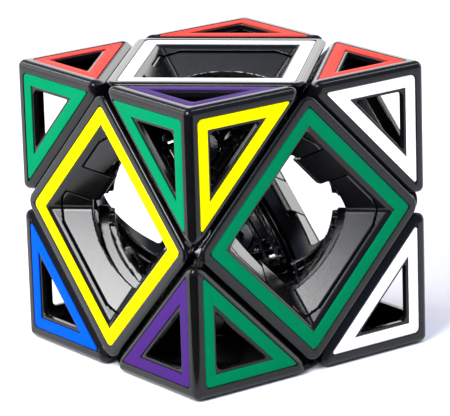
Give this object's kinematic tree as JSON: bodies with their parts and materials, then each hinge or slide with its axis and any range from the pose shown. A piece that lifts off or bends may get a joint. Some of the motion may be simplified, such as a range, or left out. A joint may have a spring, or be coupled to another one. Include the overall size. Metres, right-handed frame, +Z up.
{
  "type": "hollow corner-turning cube puzzle",
  "caption": "Hollow cube-shaped twisty puzzle that turns about its body diagonals, with open diamond centres and open triangular corners in black plastic with coloured frame tiles",
  "frame": {"origin": "centre of the cube, where the turning axes cross", "axes": "+Z up out of the top face, +X out of the front-right face, +Y out of the back-right face, so -Y is the front-left face"},
  "size_m": [0.06, 0.06, 0.06],
  "materials": {
    "black_plastic": "moulded black plastic, between satin and gloss",
    "black_inner_plastic": "moulded black plastic of the inner walls and feet",
    "tile_white": "smooth white tile",
    "tile_yellow": "smooth yellow tile",
    "tile_red": "smooth red tile",
    "tile_purple": "smooth purple tile",
    "tile_green": "smooth green tile",
    "tile_blue": "smooth blue tile"
  },
  "bodies": {
    "bottom_centre": {"bottom_centre_cap": "black_plastic", "bottom_centre_liner": "black_inner_plastic", "bottom_centre_tile": "tile_blue"},
    "top_centre": {"top_centre_cap": "black_plastic", "top_centre_liner": "black_inner_plastic", "top_centre_tile": "tile_white"},
    "front_left_centre": {"front_left_centre_cap": "black_plastic", "front_left_centre_liner": "black_inner_plastic", "front_left_centre_tile": "tile_yellow"},
    "front_right_centre": {"front_right_centre_cap": "black_plastic", "front_right_centre_liner": "black_inner_plastic", "front_right_centre_tile": "tile_green"},
    "back_left_centre": {"back_left_centre_cap": "black_plastic", "back_left_centre_liner": "black_inner_plastic", "back_left_centre_tile": "tile_purple"},
    "back_right_centre": {"back_right_centre_cap": "black_plastic", "back_right_centre_liner": "black_inner_plastic", "back_right_centre_tile": "tile_red"},
    "left_bottom_corner": {"left_bottom_corner_shell": "black_plastic", "left_bottom_corner_foot": "black_inner_plastic", "left_bottom_corner_tile_front_left": "tile_blue", "left_bottom_corner_tile_bottom": "tile_red", "left_bottom_corner_tile_back_left": "tile_yellow"},
    "right_bottom_corner": {"right_bottom_corner_shell": "black_plastic", "right_bottom_corner_foot": "black_inner_plastic", "right_bottom_corner_tile_front_right": "tile_white", "right_bottom_corner_tile_back_right": "tile_blue", "right_bottom_corner_tile_bottom": "tile_purple"},
    "front_bottom_corner": {"front_bottom_corner_shell": "black_plastic", "front_bottom_corner_foot": "black_inner_plastic", "front_bottom_corner_tile_front_left": "tile_purple", "front_bottom_corner_tile_front_right": "tile_green", "front_bottom_corner_tile_bottom": "tile_white"},
    "back_bottom_corner": {"back_bottom_corner_shell": "black_plastic", "back_bottom_corner_foot": "black_inner_plastic", "back_bottom_corner_tile_back_right": "tile_purple", "back_bottom_corner_tile_back_left": "tile_blue", "back_bottom_corner_tile_bottom": "tile_yellow"},
    "left_top_corner": {"left_top_corner_shell": "black_plastic", "left_top_corner_foot": "black_inner_plastic", "left_top_corner_tile_top": "tile_red", "left_top_corner_tile_front_left": "tile_green", "left_top_corner_tile_back_left": "tile_yellow"},
    "right_top_corner": {"right_top_corner_shell": "black_plastic", "right_top_corner_foot": "black_inner_plastic", "right_top_corner_tile_top": "tile_red", "right_top_corner_tile_back_right": "tile_blue", "right_top_corner_tile_front_right": "tile_white"},
    "front_top_corner": {"front_top_corner_shell": "black_plastic", "front_top_corner_foot": "black_inner_plastic", "front_top_corner_tile_top": "tile_purple", "front_top_corner_tile_front_right": "tile_yellow", "front_top_corner_tile_front_left": "tile_green"},
    "back_top_corner": {"back_top_corner_shell": "black_plastic", "back_top_corner_foot": "black_inner_plastic", "back_top_corner_tile_top": "tile_red", "back_top_corner_tile_back_left": "tile_white", "back_top_corner_tile_back_right": "tile_green"}
  },
  "joints": [
    {"name": "turn_left_top_half", "type": "hinge", "parent": "bottom_centre", "child": "left_bottom_corner", "pos_m": [0, 0, 0], "axis": [-0.5774, -0.5774, 0.5774], "range_deg": [-120, 240]},
    {"name": "turn_right_top_half", "type": "hinge", "parent": "bottom_centre", "child": "right_bottom_corner", "pos_m": [0, 0, 0], "axis": [0.5774, 0.5774, 0.5774], "range_deg": [-120, 240]},
    {"name": "turn_front_top_half", "type": "hinge", "parent": "bottom_centre", "child": "front_bottom_corner", "pos_m": [0, 0, 0], "axis": [0.5774, -0.5774, 0.5774], "range_deg": [-120, 240]},
    {"name": "turn_back_top_half", "type": "hinge", "parent": "bottom_centre", "child": "back_bottom_corner", "pos_m": [0, 0, 0], "axis": [-0.5774, 0.5774, 0.5774], "range_deg": [-120, 240]},
    {"name": "front_right_centre_with_front_top_half", "type": "hinge", "parent": "right_bottom_corner", "child": "front_right_centre", "pos_m": [0, 0, 0], "axis": [0.5774, -0.5774, 0.5774], "range_deg": [-120, 240]},
    {"name": "back_left_centre_with_back_top_half", "type": "hinge", "parent": "left_bottom_corner", "child": "back_left_centre", "pos_m": [0, 0, 0], "axis": [-0.5774, 0.5774, 0.5774], "range_deg": [-120, 240]},
    {"name": "back_right_centre_with_right_top_half", "type": "hinge", "parent": "back_bottom_corner", "child": "back_right_centre", "pos_m": [0, 0, 0], "axis": [0.5774, 0.5774, 0.5774], "range_deg": [-120, 240]},
    {"name": "front_left_centre_with_left_top_half", "type": "hinge", "parent": "front_bottom_corner", "child": "front_left_centre", "pos_m": [0, 0, 0], "axis": [-0.5774, -0.5774, 0.5774], "range_deg": [-120, 240]},
    {"name": "left_top_corner_with_back_top_half", "type": "hinge", "parent": "front_left_centre", "child": "left_top_corner", "pos_m": [0, 0, 0], "axis": [-0.5774, 0.5774, 0.5774], "range_deg": [-120, 240]},
    {"name": "right_top_corner_with_front_top_half", "type": "hinge", "parent": "back_right_centre", "child": "right_top_corner", "pos_m": [0, 0, 0], "axis": [0.5774, -0.5774, 0.5774], "range_deg": [-120, 240]},
    {"name": "front_top_corner_with_left_top_half", "type": "hinge", "parent": "front_right_centre", "child": "front_top_corner", "pos_m": [0, 0, 0], "axis": [-0.5774, -0.5774, 0.5774], "range_deg": [-120, 240]},
    {"name": "back_top_corner_with_right_top_half", "type": "hinge", "parent": "back_left_centre", "child": "back_top_corner", "pos_m": [0, 0, 0], "axis": [0.5774, 0.5774, 0.5774], "range_deg": [-120, 240]},
    {"name": "top_centre_with_right_top_half", "type": "hinge", "parent": "left_top_corner", "child": "top_centre", "pos_m": [0, 0, 0], "axis": [0.5774, 0.5774, 0.5774], "range_deg": [-120, 240]}
  ],
  "couplings": [
    {"joint": "front_right_centre_with_front_top_half", "follows": "turn_front_top_half", "ratio": 1},
    {"joint": "back_left_centre_with_back_top_half", "follows": "turn_back_top_half", "ratio": 1},
    {"joint": "back_right_centre_with_right_top_half", "follows": "turn_right_top_half", "ratio": 1},
    {"joint": "front_left_centre_with_left_top_half", "follows": "turn_left_top_half", "ratio": 1},
    {"joint": "left_top_corner_with_back_top_half", "follows": "turn_back_top_half", "ratio": 1},
    {"joint": "right_top_corner_with_front_top_half", "follows": "turn_front_top_half", "ratio": 1},
    {"joint": "front_top_corner_with_left_top_half", "follows": "turn_left_top_half", "ratio": 1},
    {"joint": "back_top_corner_with_right_top_half", "follows": "turn_right_top_half", "ratio": 1},
    {"joint": "top_centre_with_right_top_half", "follows": "turn_right_top_half", "ratio": 1}
  ]
}
